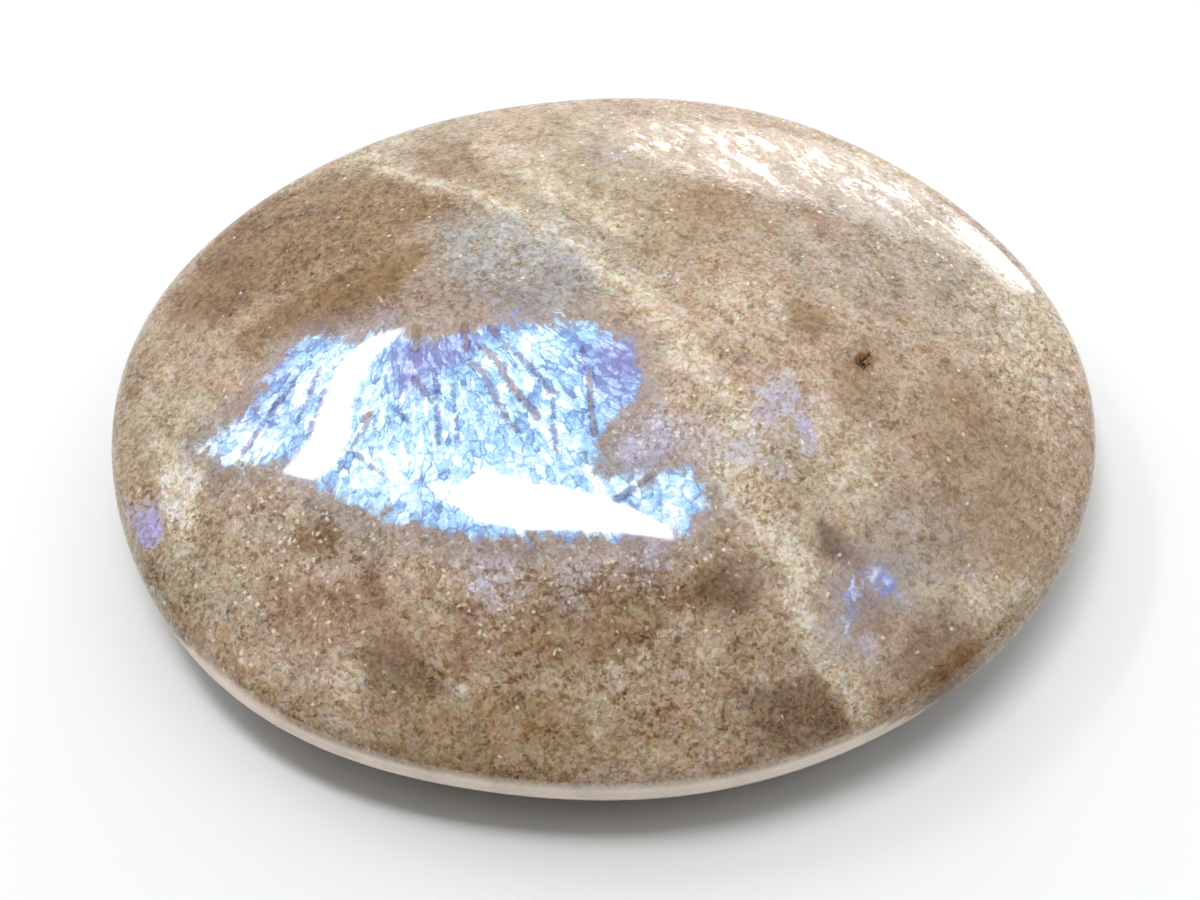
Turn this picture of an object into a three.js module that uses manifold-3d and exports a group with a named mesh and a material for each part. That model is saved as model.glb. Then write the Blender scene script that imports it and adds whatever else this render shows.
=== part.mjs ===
// A polished moonstone palm stone: one flattened oval pebble with an evenly domed crown, a tightly
// rounded girdle, a shallower keel and a small flat spot that it rests on. It has one open pit in the
// crown.
//
// Millimetres, +Z up. The origin is on the plane of the flat spot, under the middle of the stone's
// box. +X runs along the stone and +Y across it.

import Module from "manifold-3d";
import * as THREE from "three";
import { mergeVertices } from "three/addons/utils/BufferGeometryUtils.js";

// Driving dimensions.
const LENGTH = 66;
const WIDTH = 53.8;
const CROWN_HEIGHT = 9.5; // girdle to the top
const KEEL_DEPTH = 6.2; // girdle to the flat spot
const EDGE_RADIUS = 2.5; // rounding of the girdle
const FLAT_SPOT_WIDTH = 11;

// How a dome falls away from its middle: this share of the fall comes only close to the girdle,
// where it rises with a high power of the distance, and the rest falls as a plain parabola.
const CROWN_SHOULDER = 0.06;
const KEEL_SHOULDER = 0.15;
const SHOULDER_POWER = 6;

// The plan is an oval that hand polishing left a little uneven. Each lobe swells it by a share of
// its radius, so many times round, and strongest in the direction that peakDeg gives from +X.
const LOBES = [
  { count: 3, swell: 0.003, peakDeg: -31.7 },
  { count: 4, swell: 0.0032, peakDeg: -30 },
  { count: 5, swell: 0.0045, peakDeg: 1.6 },
  { count: 6, swell: 0.0019, peakDeg: -11.7 },
  { count: 7, swell: 0.0023, peakDeg: 13.1 },
];

// Low swells that polishing left on the crown: crest to crest, heading from +X, and height.
const SWELLS = [
  { length: 31, headingDeg: 24, height: 0.1, startDeg: 40 },
  { length: 22, headingDeg: 118, height: 0.07, startDeg: 200 },
  { length: 14, headingDeg: 71, height: 0.03, startDeg: 95 },
];

// The open pit, where a grain fell out of the crown: an ellipsoid sunk into the surface.
const PIT = { x: 16.7, y: -0.8, length: 1.3, width: 0.9, depth: 0.45, turnDeg: 62 };

// Fineness of the faces.
const SECTORS = 116;
const CROWN_STEPS = 17;
const EDGE_STEPS = 8;
const KEEL_STEPS = 9;
const PIT_SECTORS = 14;
const PIT_STEPS = 8;
const WELD_DISTANCE = 1e-3; // vertices closer than this are one

const { Vector2, Vector3 } = THREE;
const radians = THREE.MathUtils.degToRad;

// Fall of a dome at share u of its half width, 0 in the middle and 1 at its rim, and its slope.
function domeFall(u, shoulder) {
  return {
    fall: (1 - shoulder) * u ** 2 + shoulder * u ** SHOULDER_POWER,
    slope: 2 * (1 - shoulder) * u + shoulder * SHOULDER_POWER * u ** (SHOULDER_POWER - 1),
  };
}

// Half section of one dome from its middle to where it meets the rounded girdle, as distance from
// the axis and height above the girdle. The points lie one edge radius outside a plain dome that
// ends on the centre of the rounding, so dome and rounding meet without a crease.
function domeSection(domeHeight, shoulder, firstShare, steps) {
  const reach = WIDTH / 2 - EDGE_RADIUS;
  const start = Math.asin(firstShare);
  return Array.from({ length: steps + 1 }, (_, i) => {
    const u = Math.sin(THREE.MathUtils.lerp(start, Math.PI / 2, i / steps));
    const { fall, slope } = domeFall(u, shoulder);
    const outward = new Vector2((domeHeight * slope) / reach, 1).normalize();
    return new Vector2(reach * u, domeHeight * (1 - fall)).addScaledVector(outward, EDGE_RADIUS);
  });
}

// Tilt of a dome's surface from level where it meets the girdle.
function rimTilt(domeHeight, shoulder) {
  const reach = WIDTH / 2 - EDGE_RADIUS;
  return Math.atan2(domeHeight * domeFall(1, shoulder).slope, reach);
}

// Half section of the whole stone, from the middle of the flat spot up to the middle of the crown.
function stoneSection() {
  const reach = WIDTH / 2 - EDGE_RADIUS;
  const flatShare = FLAT_SPOT_WIDTH / 2 / reach;
  const crownHeight = CROWN_HEIGHT - EDGE_RADIUS;
  const keelHeight = (KEEL_DEPTH - EDGE_RADIUS) / (1 - domeFall(flatShare, KEEL_SHOULDER).fall);

  const keel = domeSection(keelHeight, KEEL_SHOULDER, flatShare, KEEL_STEPS).slice(1);
  const flatSpot = [new Vector2(0, KEEL_DEPTH), new Vector2(FLAT_SPOT_WIDTH / 2, KEEL_DEPTH)];
  const crown = domeSection(crownHeight, CROWN_SHOULDER, 0, CROWN_STEPS).reverse();

  const low = rimTilt(keelHeight, KEEL_SHOULDER) - Math.PI / 2;
  const high = Math.PI / 2 - rimTilt(crownHeight, CROWN_SHOULDER);
  const girdle = Array.from({ length: EDGE_STEPS - 1 }, (_, i) => {
    const angle = THREE.MathUtils.lerp(low, high, (i + 1) / EDGE_STEPS);
    return new Vector2(reach + EDGE_RADIUS * Math.cos(angle), EDGE_RADIUS * Math.sin(angle));
  });

  const below = [...flatSpot, ...keel].map(({ x, y }) => new Vector2(x, KEEL_DEPTH - y));
  const above = [...girdle, ...crown].map(({ x, y }) => new Vector2(x, KEEL_DEPTH + y));
  return [...below, ...above];
}

// Distance from the axis to the girdle in one direction of the plan.
function planRadius(angle) {
  const oval = 1 / Math.hypot(Math.cos(angle) / (LENGTH / 2), Math.sin(angle) / (WIDTH / 2));
  const lobed = LOBES.reduce(
    (sum, { count, swell, peakDeg }) => sum + swell * Math.cos(count * (angle - radians(peakDeg))),
    1,
  );
  return oval * lobed;
}

// Height that the swells add at a point of the crown, fading out towards the girdle.
function swellHeight(x, y, z) {
  const share = Math.max(0, (z - KEEL_DEPTH) / CROWN_HEIGHT);
  const sum = SWELLS.reduce((total, { length, headingDeg, height, startDeg }) => {
    const along = x * Math.cos(radians(headingDeg)) + y * Math.sin(radians(headingDeg));
    return total + height * Math.sin((2 * Math.PI * along) / length + radians(startDeg));
  }, 0);
  return share * sum;
}

// The section turned round the axis, then pushed out to the plan and given its swells.
function stoneGeometry() {
  const geometry = new THREE.LatheGeometry(stoneSection(), SECTORS).rotateX(Math.PI / 2);
  const position = geometry.getAttribute("position");
  const point = new Vector3();
  for (let i = 0; i < position.count; i++) {
    point.fromBufferAttribute(position, i);
    const stretch = planRadius(Math.atan2(point.y, point.x)) / (WIDTH / 2);
    point.set(point.x * stretch, point.y * stretch, point.z);
    point.z += swellHeight(point.x, point.y, point.z);
    position.setXYZ(i, point.x, point.y, point.z);
  }
  return centredOnBox(geometry);
}

// The same geometry moved so that its box is centred on the origin in plan.
function centredOnBox(geometry) {
  geometry.computeBoundingBox();
  const middle = geometry.boundingBox.getCenter(new Vector3());
  return geometry.translate(-middle.x, -middle.y, 0);
}

// Height of the crown over a point of the plan, found on the faces themselves.
function crownHeightAt(geometry, x, y) {
  const stone = new THREE.Mesh(geometry, new THREE.MeshBasicMaterial());
  const above = new Vector3(x, y, 2 * (CROWN_HEIGHT + KEEL_DEPTH));
  const down = new THREE.Raycaster(above, new Vector3(0, 0, -1));
  return down.intersectObject(stone)[0].point.z;
}

// The ellipsoid that hollows out the pit.
function pitGeometry(stone) {
  const height = crownHeightAt(stone, PIT.x, PIT.y);
  return new THREE.SphereGeometry(1, PIT_SECTORS, PIT_STEPS)
    .scale(PIT.length / 2, PIT.width / 2, PIT.depth)
    .rotateZ(radians(PIT.turnDeg))
    .translate(PIT.x, PIT.y, height);
}

const manifold = await Module();
manifold.setup();

// A closed geometry as a solid for cutting.
function solidOf(geometry) {
  const bare = new THREE.BufferGeometry()
    .setAttribute("position", geometry.getAttribute("position").clone())
    .setIndex(geometry.getIndex().clone());
  const merged = mergeVertices(bare, WELD_DISTANCE);
  return new manifold.Manifold(
    new manifold.Mesh({
      numProp: 3,
      vertProperties: merged.getAttribute("position").array,
      triVerts: new Uint32Array(merged.getIndex().array),
    }),
  );
}

// A solid back as a geometry to show.
function geometryOf(solid) {
  const { vertProperties, triVerts } = solid.getMesh();
  const geometry = new THREE.BufferGeometry()
    .setAttribute("position", new THREE.BufferAttribute(vertProperties, 3))
    .setIndex(new THREE.BufferAttribute(triVerts, 1));
  geometry.computeVertexNormals();
  return geometry;
}

const polishedMoonstone = new THREE.MeshStandardMaterial({
  color: 0xa18a6c,
  roughness: 0.12,
  metalness: 0,
});

const blank = stoneGeometry();
const pitted = solidOf(blank).subtract(solidOf(pitGeometry(blank)));
const moonstone = new THREE.Mesh(geometryOf(pitted), polishedMoonstone);
moonstone.name = "moonstone";

const group = new THREE.Group();
group.add(moonstone);

export default group;
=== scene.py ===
"""Dresses a packed moonstone palm stone and shows it on a pale table under soft studio light.

Blender works in metres. The stone's sizes and the places of its markings are in millimetres, in the
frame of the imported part: +X along the stone, +Y across it, +Z up from the table that it rests on.
"""

import logging
import math
from collections.abc import Callable, Mapping, Sequence
from dataclasses import dataclass, field
from enum import StrEnum, auto
from functools import partial
from typing import TypeVar

import bpy
import numpy as np
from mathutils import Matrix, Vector, noise


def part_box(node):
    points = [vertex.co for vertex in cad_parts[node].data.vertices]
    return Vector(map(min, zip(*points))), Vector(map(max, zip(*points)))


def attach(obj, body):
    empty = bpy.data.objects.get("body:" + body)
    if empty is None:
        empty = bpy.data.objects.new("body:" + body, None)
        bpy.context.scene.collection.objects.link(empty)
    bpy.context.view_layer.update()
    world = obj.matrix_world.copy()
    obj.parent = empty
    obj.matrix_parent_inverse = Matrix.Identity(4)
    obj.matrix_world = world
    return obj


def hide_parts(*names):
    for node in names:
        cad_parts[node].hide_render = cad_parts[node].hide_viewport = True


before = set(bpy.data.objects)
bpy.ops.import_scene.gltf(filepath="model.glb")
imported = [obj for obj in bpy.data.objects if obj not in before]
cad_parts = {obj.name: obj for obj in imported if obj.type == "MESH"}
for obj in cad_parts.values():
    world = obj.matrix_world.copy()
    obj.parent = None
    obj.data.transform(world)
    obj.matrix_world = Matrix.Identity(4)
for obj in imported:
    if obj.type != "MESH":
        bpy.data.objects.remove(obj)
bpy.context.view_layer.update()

STONE_NODE = "moonstone"
BODY = "root"
MM = 0.001

log = logging.getLogger("moonstone")

Point = tuple[float, float]
Place = tuple[float, float, float]
Array = np.ndarray
Plan = tuple[Array, Array]
Colour = tuple[float, float, float, float]
Socket = bpy.types.NodeSocket
NodeAdder = Callable[..., Socket]
Made = TypeVar("Made")

WHITE: Colour = (1.0, 1.0, 1.0, 1.0)
BODY_TONE = "body_tone"

# Where a cloud starts to fade and ends, in shares of the way to its edge, and the same for a vein,
# in shares of its width.
CLOUD_FADE: Point = (0.5, 1.3)
VEIN_FADE: Point = (0.1, 0.8)

# Settings that several shader nodes share.
BLENDED = {"data_type": "RGBA"}
TINTED = {"data_type": "RGBA", "blend_type": "MULTIPLY"}
SMOOTH = {"interpolation_type": "SMOOTHSTEP"}


def linear(hex_colour: str) -> Colour:
    """Turns an sRGB hex colour into linear light.

    Args:
        hex_colour: The colour as "#rrggbb".

    Returns:
        Red, green and blue in linear light, and an alpha of one.
    """
    channels = [int(hex_colour[i : i + 2], 16) / 255 for i in (1, 3, 5)]
    light = [c / 12.92 if c <= 0.04045 else ((c + 0.055) / 1.055) ** 2.4 for c in channels]
    return (light[0], light[1], light[2], 1.0)


def add_node(
    tree: bpy.types.NodeTree,
    kind: str,
    inputs: Mapping[str | int, object] | None = None,
    output: str | int = 0,
    stops: Sequence[tuple[float, str]] = (),
    **settings: object,
) -> Socket | None:
    """Adds one shader node with its settings and its links.

    Args:
        tree: The tree that the node joins.
        kind: Blender's name for the kind of node, without its "ShaderNode".
        inputs: A value or an incoming socket for each input, by name or number.
        output: The output that is handed back.
        stops: The place and sRGB hex colour of each stop of a colour ramp.
        **settings: Properties of the node itself.

    Returns:
        The chosen output, or None where the node has no output.
    """
    node = tree.nodes.new(f"ShaderNode{kind}")
    for name, value in settings.items():
        setattr(node, name, value)
    for socket, value in (inputs or {}).items():
        if isinstance(value, Socket):
            tree.links.new(value, node.inputs[socket])
        else:
            node.inputs[socket].default_value = value
    if stops:
        elements = node.color_ramp.elements
        while len(elements) < len(stops):
            elements.new(1.0)
        for element, (place, hex_colour) in zip(elements, stops):
            element.position = place
            element.color = linear(hex_colour)
    return node.outputs[output] if node.outputs else None


def cleared(owner: bpy.types.Material | bpy.types.World) -> NodeAdder:
    """Empties the nodes of a material or a world.

    Args:
        owner: The material or the world.

    Returns:
        What adds a node to it.
    """
    owner.use_nodes = True
    owner.node_tree.nodes.clear()
    return partial(add_node, owner.node_tree)


def add_piece(
    name: str,
    points: Sequence[Sequence[float]],
    faces: Sequence[Sequence[int]],
    material: bpy.types.Material,
) -> bpy.types.Object:
    """Makes a mesh and puts it into the scene.

    Args:
        name: The name of the piece and its mesh.
        points: The vertices, in metres.
        faces: The vertex numbers of each face.
        material: What the piece is made of.

    Returns:
        The piece.
    """
    mesh = bpy.data.meshes.new(name)
    mesh.from_pydata(points, [], faces)
    mesh.materials.append(material)
    piece = bpy.data.objects.new(name, mesh)
    bpy.context.scene.collection.objects.link(piece)
    return piece


def smooth_fall(value: Array, full: float, none: float) -> Array:
    """Falls smoothly from one, at or below a full value, to zero.

    Args:
        value: The values to grade.
        full: Up to here the share is one.
        none: From here on the share is zero.

    Returns:
        A share for each value.
    """
    share = np.clip((none - value) / (none - full), 0.0, 1.0)
    return share * share * (3.0 - 2.0 * share)


def line_distance(plan: Plan, points: Sequence[Point]) -> Array:
    """Measures how far each place lies from a line made of straight stretches.

    Args:
        plan: The places, along and across the stone.
        points: The corners of the line, the first one again at the end if it closes.

    Returns:
        The distance from each place to the nearest stretch.
    """
    x, y = plan
    nearest = np.full(x.shape, np.inf)
    for (x0, y0), (x1, y1) in zip(points, points[1:]):
        dx, dy = x1 - x0, y1 - y0
        share = np.clip(((x - x0) * dx + (y - y0) * dy) / (dx * dx + dy * dy), 0.0, 1.0)
        nearest = np.minimum(nearest, np.hypot(x - x0 - share * dx, y - y0 - share * dy))
    return nearest


def each(kind: Callable[..., Made], *rows: Sequence[object]) -> tuple[Made, ...]:
    """Makes one thing of a kind from each row of its values."""
    return tuple(kind(*row) for row in rows)


class Tone(StrEnum):
    """Body colours that the stone shows, by the names a gem dealer would use."""

    TAN = "#9c866d"
    SAND = "#94846a"
    CREAM = "#c1b39b"
    BLUSH = "#8d7e6b"
    OLIVE = "#806843"
    HONEY = "#6c4d27"
    COCOA = "#6f532b"
    UMBER = "#50341a"
    RUST = "#7b5536"
    SMOKE = "#7d7e7c"
    MAUVE = "#7d6d66"
    LAVENDER = "#a29aa5"
    MILK = "#dcd6d0"
    SOOT = "#22180c"


class Mark(StrEnum):
    """What the mesh of the stone carries at each vertex, for the finish to read."""

    # How deep inside a patch of painted sheen each place is, and how pale and how violet the sheen
    # is there.
    SHEEN_DEPTH = auto()
    SHEEN_WHITE = auto()
    SHEEN_VIOLET = auto()
    LILAC = auto()
    CLEAR = auto()
    GLITTER = auto()
    WEAR = auto()
    PIT = auto()
    # The pale band of painted light on the near rim.
    RIM = auto()
    CRACK = auto()


@dataclass(frozen=True)
class Oval:
    """An oval on the plan, in millimetres, turned by so many degrees from +X."""

    x: float
    y: float
    length: float
    width: float
    turn_deg: float

    def reach(self, plan: Plan) -> Array:
        """Measures how far each place lies from the oval's middle.

        Args:
            plan: The places, along and across the stone.

        Returns:
            Zero at the middle and one at the oval's edge.
        """
        turn = math.radians(self.turn_deg)
        x, y = plan[0] - self.x, plan[1] - self.y
        along = x * math.cos(turn) + y * math.sin(turn)
        across = y * math.cos(turn) - x * math.sin(turn)
        return np.hypot(2 * along / self.length, 2 * across / self.width)


@dataclass(frozen=True)
class Pit(Oval):
    """A small natural hollow in the crown, and its depth."""

    depth: float


@dataclass(frozen=True)
class Cloud(Oval):
    """A soft-edged oval of another body colour."""

    tone: Tone
    strength: float

    def weight(self, plan: Plan) -> Array:
        """Says how much of the cloud's tone each place takes, up to its strength."""
        return self.strength * smooth_fall(self.reach(plan), *CLOUD_FADE)


@dataclass(frozen=True)
class Vein:
    """A streak of another body colour along a line on the plan, in millimetres."""

    points: tuple[Point, ...]
    width: float
    tone: Tone
    strength: float

    def weight(self, plan: Plan) -> Array:
        """Says how much of the vein's tone each place takes, up to its strength."""
        fade = (share * self.width for share in VEIN_FADE)
        return self.strength * smooth_fall(line_distance(plan, self.points), *fade)


@dataclass(frozen=True)
class Crack:
    """A thin crack just under the polish, by its line on the plan, in millimetres."""

    points: tuple[Point, ...]
    width: float

    def depth(self, plan: Plan) -> Array:
        """Measures how far inside the crack's sides each place lies, below zero outside them."""
        return self.width / 2 - line_distance(plan, self.points)


@dataclass(frozen=True)
class Gathering:
    """A round place where something gathers, most of it in the middle, in millimetres."""

    x: float
    y: float
    radius: float
    strength: float

    def weight(self, plan: Plan) -> Array:
        """Gives each place's share, from the strength in the middle to zero at the radius."""
        reach = np.hypot(plan[0] - self.x, plan[1] - self.y) / self.radius
        return self.strength * smooth_fall(reach, 0.0, 1.0)


def gathered(gatherings: Sequence[Gathering], plan: Plan) -> Array:
    """Adds up what several gatherings bring to each place."""
    return sum(gathering.weight(plan) for gathering in gatherings)


@dataclass(frozen=True)
class SheenPatch:
    """A patch of painted sheen, the blue shimmer just under the polish, by its outline on the plan
    in millimetres.
    """

    outline: tuple[Point, ...]
    inset: float = 0.0

    def depth(self, plan: Plan) -> Array:
        """Measures how far inside the outline, less the inset, each place lies.

        Args:
            plan: The places, along and across the stone.

        Returns:
            The distance, above zero inside and below zero outside.
        """
        x, y = plan
        closed = [*self.outline, self.outline[0]]
        within = np.zeros(x.shape, bool)
        for (x0, y0), (x1, y1) in zip(closed, closed[1:]):
            crosses = (y0 > y) != (y1 > y)
            rise = y1 - y0 if y1 != y0 else 1.0
            within ^= crosses & (x < x0 + (y - y0) * (x1 - x0) / rise)
        distance = line_distance(plan, closed)
        return np.where(within, distance, -distance) - self.inset


# The bands and clouds of colour that run through the stone, the broad ones first: the place, the
# length, the width, the turn, the tone and the strength of each.
CLOUDS = each(
    Cloud,
    # The broad bands, and the haze over the shimmer.
    (-17, 14.5, 23, 14, 25, Tone.COCOA, 0.85), (-25.5, 12, 13, 7, 65, Tone.HONEY, 0.8),
    (19, 9, 26, 15, -8, Tone.BLUSH, 0.75), (0, 14, 18, 15, -50, Tone.SAND, 0.85),
    (-11, 23, 12, 5, 15, Tone.SAND, 0.8), (-31, 3, 5, 12, 0, Tone.SAND, 0.55),
    (-27, -2, 6, 10, 15, Tone.SAND, 0.8), (-27, -12, 9, 7, -40, Tone.SAND, 0.8),
    (-18, -11, 12, 4, -20, Tone.BLUSH, 0.5), (-5, 8, 14, 9, -30, Tone.SMOKE, 0.7),
    (-5.5, 8.5, 6, 4, -35, Tone.MILK, 0.12), (-12, 5, 18, 4, 5, Tone.MAUVE, 0.55),
    (7.5, 10.5, 9, 9, 20, Tone.OLIVE, 0.4), (9, 4, 8, 10, 0, Tone.TAN, 0.6),
    # The right side, and the creamy hazes.
    (23.5, -8, 9, 12, 20, Tone.COCOA, 0.45), (16.5, -2, 7, 5, 60, Tone.HONEY, 0.35),
    (20, -13, 9, 6, -30, Tone.MAUVE, 0.4), (28.5, 3.5, 9, 13, -15, Tone.CREAM, 0.3),
    (13, -7, 11, 8, -30, Tone.CREAM, 0.45), (9.5, 3, 7, 7, 0, Tone.CREAM, 0.25),
    (-27.5, -1, 6, 9, 15, Tone.CREAM, 0.2),
    # The near side, from left to right.
    (-18, -16, 12, 5, -20, Tone.RUST, 0.5), (-18.3, -10.6, 3.4, 2.4, 0, Tone.HONEY, 0.75),
    (-13.8, -19.5, 5, 3, -15, Tone.UMBER, 0.55), (-9.8, -17.4, 2.2, 4, 10, Tone.RUST, 0.6),
    (-8, -23.5, 18, 5, -5, Tone.OLIVE, 0.5), (0, -17, 16, 6, 0, Tone.COCOA, 0.6),
    (7, -16.2, 6, 3.5, 25, Tone.UMBER, 0.6), (10.5, -22.6, 8, 4, 15, Tone.UMBER, 0.6),
    (13.4, -13, 3.4, 2.8, -20, Tone.UMBER, 0.9), (20.5, -19, 9, 4, 40, Tone.HONEY, 0.8),
    # Small spots, streaks and pockets.
    (-15, 7.5, 10, 3.5, 20, Tone.COCOA, 0.6), (-22, 5.5, 3, 2.5, 20, Tone.RUST, 0.6),
    (12.9, 2.2, 3, 4, 10, Tone.COCOA, 0.75), (14.9, 12.5, 3.5, 6, 10, Tone.RUST, 0.45),
    (1.5, 18, 4, 3, 0, Tone.MAUVE, 0.5), (1, -7.5, 6, 5, 0, Tone.SMOKE, 0.6),
    (-18.8, -15.4, 6, 2, -10, Tone.RUST, 0.45), (-15.2, -15, 1.2, 3, 5, Tone.RUST, 0.6),
    (-10.3, -20, 2, 1.6, -20, Tone.MILK, 0.25), (-17, -19.2, 3, 2, -20, Tone.CREAM, 0.4),
    (7.5, 13, 5, 5, 0, Tone.RUST, 0.35), (23.4, -1.9, 4, 4.5, 0, Tone.COCOA, 0.35),
    (23.5, -15, 6, 5, 30, Tone.CREAM, 0.35), (15.8, -16, 4.5, 7, 20, Tone.COCOA, 0.4),
    (6.6, -7.4, 4, 5, 0, Tone.MILK, 0.3), (-17, 6, 13, 5, 15, Tone.COCOA, 0.9),
)

# The pale veins and the streaks that cross the clouds.
VEINS = each(
    Vein,
    (((-16, 21.5), (-9, 15), (-2, 9), (3, 3), (5, -1)), 2.6, Tone.CREAM, 0.38),
    (((-15, 20.5), (-8, 14.5), (-3, 9.5), (2, 4)), 1.0, Tone.CREAM, 0.45),
    (((-7, 20), (-2, 14), (1, 10)), 2.2, Tone.CREAM, 0.42),
    (((5, -1), (6.5, -5), (8, -10)), 2.4, Tone.CREAM, 0.6),
    (((8, -10), (12, -17), (15, -22.5)), 1.8, Tone.CREAM, 0.65),
    (((10, -8), (16, -13), (21, -17)), 3.0, Tone.SAND, 0.5),
    (((4, -18), (0, -20), (-2, -24)), 1.4, Tone.CREAM, 0.35),
    (((-28.5, -1), (-26.5, -6), (-27, -9)), 1.8, Tone.CREAM, 0.6),
    (((-28.6, -3.5), (-27.7, -6.0), (-27.0, -8.0)), 0.9, Tone.MILK, 0.45),
    (((15, -13.7), (15.4, -15.4), (16.2, -17), (16.5, -18.5)), 0.9, Tone.RUST, 0.5),
    (((-26.9, -4.6), (-26.4, -5.6)), 0.6, Tone.MILK, 0.4),
)

# The cracks that cross the shimmer fan out from a point beyond it. They go from left to right.
CRACKS = each(
    Crack,
    (((-23.5, -4.4), (-21.6, -1.9), (-20.4, -0.2), (-19.9, 0.6)), 0.3),
    (((-20.8, -5.9), (-19.2, -4.5), (-18.8, -3.1), (-18.1, -1.2), (-17.6, -0.4)), 0.3),
    (((-19.9, -2.8), (-19.1, -1.3), (-18.8, -0.1), (-18.3, 0.9)), 0.24),
    (((-17.2, -4.8), (-17.0, -6.6)), 0.3),
    (((-16.5, -5.5), (-15.3, -3.9), (-15.2, -3.0)), 0.28),
    (((-15.4, -3.4), (-15.1, -3.1)), 0.6),
    (((-16.3, -5.5), (-15.2, -6.7), (-14.1, -7.6)), 0.24),
    (((-13.9, -2.5), (-12.6, -4.0)), 0.24),
    (((-12.2, -1.0), (-11.0, -2.8)), 0.4),
    (((-12.0, 3.0), (-12.1, 1.2)), 0.5),
    (((-8.9, 2.6), (-8.8, 0.8)), 0.45),
    (((-10.9, -0.6), (-10.8, -2.0), (-10.8, -5.8)), 0.26),
    (((-9.7, -1.8), (-9.7, -2.5), (-9.5, -5.6)), 0.24),
    (((-8.7, -0.3), (-7.7, -1.2), (-7.2, -2.8), (-6.7, -4.2), (-5.8, -5.5)), 0.4),
    (((-7.7, 0.7), (-6.7, -0.7), (-6.2, -2.0), (-5.4, -3.4), (-4.5, -4.7)), 0.48),
    (((-7.2, 2.2), (-6.4, 0.7), (-5.4, -0.2), (-4.5, -1.6), (-3.7, -2.9), (-3.1, -3.3)), 0.36),
    (((-3.5, -3.7), (-3.5, -5.7), (-3.4, -7.5)), 0.24),
    (((-1.5, 0.2), (-1.3, -1.6)), 0.24),
    (((-1.0, -1.7), (-1.1, -4.4), (-1.0, -6.2)), 0.4),
    (((0.1, -10.5), (1.3, -9.9), (2.4, -9.1)), 0.34),
    (((28.6, -1.9), (32.1, -4.0)), 0.3),
    (((-2.9, 22.9), (0.2, 20.3), (3.4, 16.9)), 0.26),
)

# The main flash of the painted sheen, and two small ones at the right.
SHEEN_PATCHES = each(
    SheenPatch,
    (
        (
            (-26, -3), (-23, -1), (-21, 1.5), (-19, 3.2), (-16.5, 2.5), (-14, 2.8), (-12, 1.6),
            (-8.5, 1.8), (-6, 2.6), (-2, 2.2), (1.4, 0.2), (2.3, -2), (1, -4.5), (-0.8, -7),
            (-1.5, -9), (2, -9.4), (4.6, -8.6), (5.4, -10.6), (4.4, -12.4), (0, -12.5),
            (-6, -12.3), (-10.5, -11.6), (-14, -10.1), (-18, -7.5), (-21, -5.4), (-24.5, -4.8),
        ),
    ),
    (((14.8, -15.4), (14.6, -16.6), (14.9, -17.2), (13.8, -18.6), (13.8, -16.8)), 0.15),
    (((15.7, -14.4), (17.2, -14.9), (17.3, -16), (16.5, -16.1)), 0.15),
)

# Where the painted sheen is paler than elsewhere; beside the lamps' highlights this paleness is
# painted glow from them.
WHITE_SHEEN = each(
    Gathering,
    (-24, -3.2, 4, 0.5), (-15.5, -7.5, 6, 0.14), (-9, -9.5, 6, 0.08), (-3, -9.8, 6, 0.16),
    (1, -1.5, 3.5, -0.1), (1.5, -11.5, 5, 0.22), (4.5, -9.5, 3, 0.1), (14.4, -17.2, 2.5, 0.3),
    (16.4, -15.3, 2.5, 0.15),
)

# Where the painted sheen turns violet.
VIOLET_SHEEN = each(
    Gathering,
    (-12.5, 0.5, 3.4, 1.0), (-9.5, 1.2, 2.8, 0.8), (0.8, -1.8, 4.4, 1.0), (-4.6, 2.2, 2.6, 0.4),
    (-22, 1.5, 2.6, 0.5), (2.0, -13, 3.0, 0.4), (-22.5, -1, 5, 0.4), (16.4, -15.3, 4.2, 1.0),
    (14.4, -17.2, 3.0, 0.5), (-29.3, -6.8, 3.0, 1.0), (12, -5.5, 4, 0.2), (0.5, -12.8, 3, 0.5),
)

# Where the milk of the body veils its structure less.
CLEAR = each(
    Gathering,
    (-19, -12, 16, 0.25), (0, -18, 18, 0.2), (-19, 14, 13, 0.5), (20, -5, 14, -0.05),
    (30, 2, 9, 0.2), (-1, 16, 12, -0.15),
)

# Where the lilac haze lies.
LILAC = each(
    Gathering,
    (11.4, -4.4, 3.4, 0.62), (8.8, -5.4, 2.6, 0.5), (7, -7.6, 2.4, 0.55), (12, -6.8, 1.6, 0.6),
    (15.6, -16.2, 4.6, 0.2), (16, -19.9, 2, 0.4), (-29.9, -6, 3.6, 0.5),
    (-29.3, -6.9, 1.8, 0.7), (10, -8.5, 3, 0.4), (-14, 4.5, 2.6, 0.35), (3.5, -6.5, 3.6, 0.6),
    (1.8, -6.8, 2.8, 0.55), (4, 6.5, 1.8, 0.35), (-8, -14.4, 4.6, 0.5),
    (-2.5, -14.5, 3.5, 0.45), (2, -14.4, 3.5, 0.5), (22, -9, 4, 0.15),
)

# Where the glints gather: painted highlights, partly pale flakes of the stone's own.
GLITTER = each(
    Gathering,
    (-20, -8, 9, 1.0), (-20, -15, 8, 0.5), (-8, -14, 8, 0.9), (2, -14, 7, 1.0),
    (-24, -2, 5, 0.6), (-28.4, -4.2, 1.5, 9.0), (-27.8, -5.8, 1.7, 9.0),
    (-27.2, -7.4, 1.4, 8.0), (-19.5, -7, 3, 1.5), (-14.5, -10.5, 3, 1.5), (2, -6.5, 3, 1.5),
    (6.5, -9.5, 3, 1.0), (8, -8, 8, 0.5), (3.5, -6, 5, 0.8), (5, 20, 9, 0.8), (16, 19, 11, 1.0),
    (27, 12, 8, 0.8),
)

# Where the polish is worn.
WEAR = each(
    Gathering,
    (0, 20, 9, 1.0), (7, 19, 10, 0.9), (14, 18, 11, 0.85), (20, 15.5, 11, 0.8),
    (26, 11, 10, 0.7), (30, 5, 8, 0.6),
)


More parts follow.
